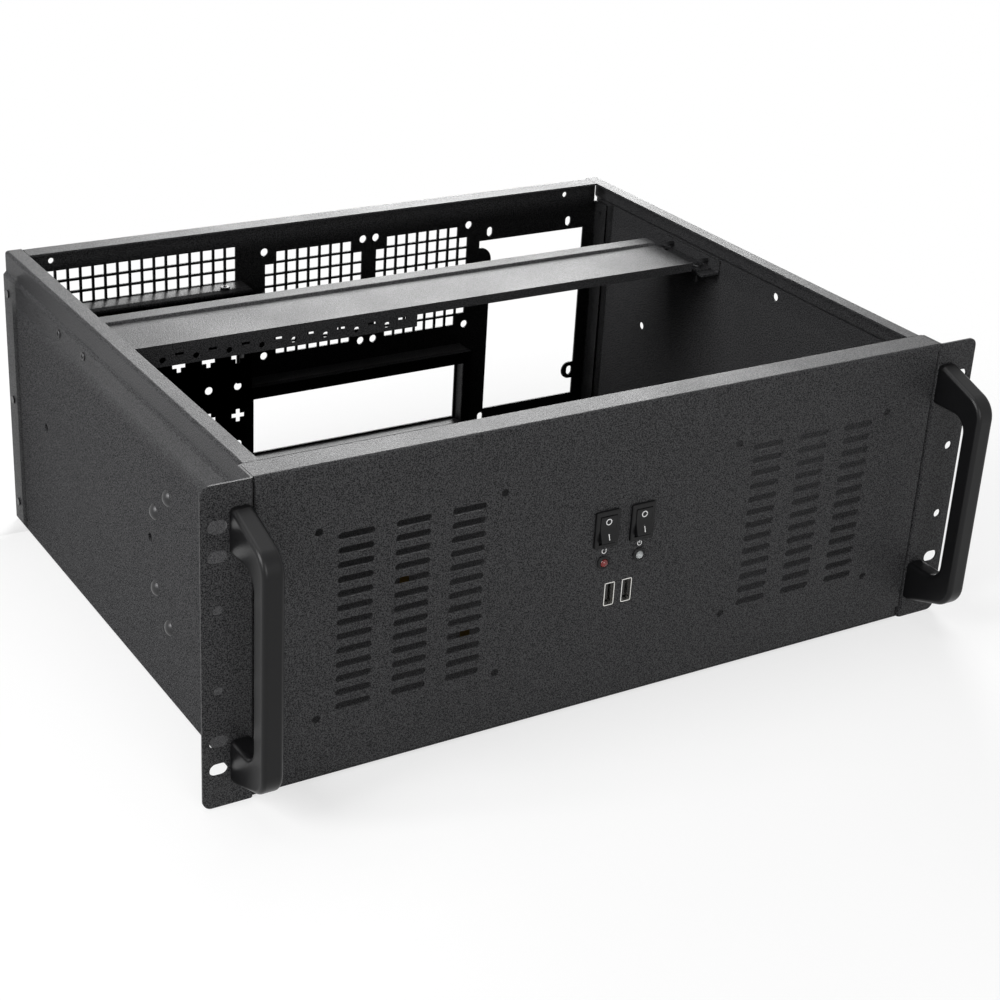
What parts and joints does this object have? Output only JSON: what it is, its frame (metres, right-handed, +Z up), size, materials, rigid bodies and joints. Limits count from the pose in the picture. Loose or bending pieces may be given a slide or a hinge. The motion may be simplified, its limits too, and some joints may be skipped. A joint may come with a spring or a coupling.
{
  "type": "rackmount server case",
  "caption": "Empty 4U rackmount server case with its top cover off: folded steel tray with rack ears, handles, vented panels, card slots and rocker switches.",
  "frame": {"origin": "under the middle of the whole object, on the surface it stands on", "axes": "+X to the right seen from the front, +Y from the front panel to the rear panel, +Z up"},
  "size_m": [0.4826, 0.387, 0.177],
  "materials": {
    "powder_coat": "matte fine texture",
    "black_plastic": "satin",
    "black_screw": "satin",
    "zinc_screw": "satin",
    "red_lens": "gloss",
    "clear_lens": "gloss",
    "bright_shell": "bright",
    "tongue_plastic": "satin",
    "circuit_board": "satin",
    "tinned_blade": "satin",
    "brass": "satin"
  },
  "bodies": {
    "case": {"chassis_tray": "powder_coat", "front_panel": "powder_coat", "rear_panel": "powder_coat", "board_frame": "powder_coat", "crossbar": "powder_coat", "card_strip": "powder_coat", "crossbar_bracket_left": "powder_coat", "crossbar_bracket_right": "powder_coat", "slot_clamp": "powder_coat", "drive_bracket": "powder_coat", "usb_bracket": "powder_coat", "slot_cover_1": "powder_coat", "slot_cover_2": "powder_coat", "slot_cover_3": "powder_coat", "slot_cover_4": "powder_coat", "slot_cover_5": "powder_coat", "slot_cover_6": "powder_coat", "slot_cover_7": "powder_coat", "left_handle": "black_plastic", "right_handle": "black_plastic", "reset_switch_body": "black_plastic", "power_switch_body": "black_plastic", "lamp_holders": "black_plastic", "handle_screws": "black_screw", "wall_screws": "black_screw", "rear_rivets": "black_screw", "bracket_screws": "black_screw", "crossbar_screws": "zinc_screw", "clamp_screws": "zinc_screw", "red_lamp": "red_lens", "clear_lamp": "clear_lens", "usb_shells": "bright_shell", "usb_tongues": "tongue_plastic", "usb_board": "circuit_board", "switch_terminals": "tinned_blade", "board_standoffs": "brass"},
    "reset_rocker": {"reset_rocker": "black_plastic"},
    "power_rocker": {"power_rocker": "black_plastic"}
  },
  "joints": [
    {"name": "reset_switch", "type": "hinge", "parent": "case", "child": "reset_rocker", "pos_m": [-0.01, -0.1555, 0.1075], "axis": [1, 0, 0], "range_deg": [0, 18]},
    {"name": "power_switch", "type": "hinge", "parent": "case", "child": "power_rocker", "pos_m": [0.013, -0.1555, 0.1075], "axis": [1, 0, 0], "range_deg": [0, 18]}
  ]
}
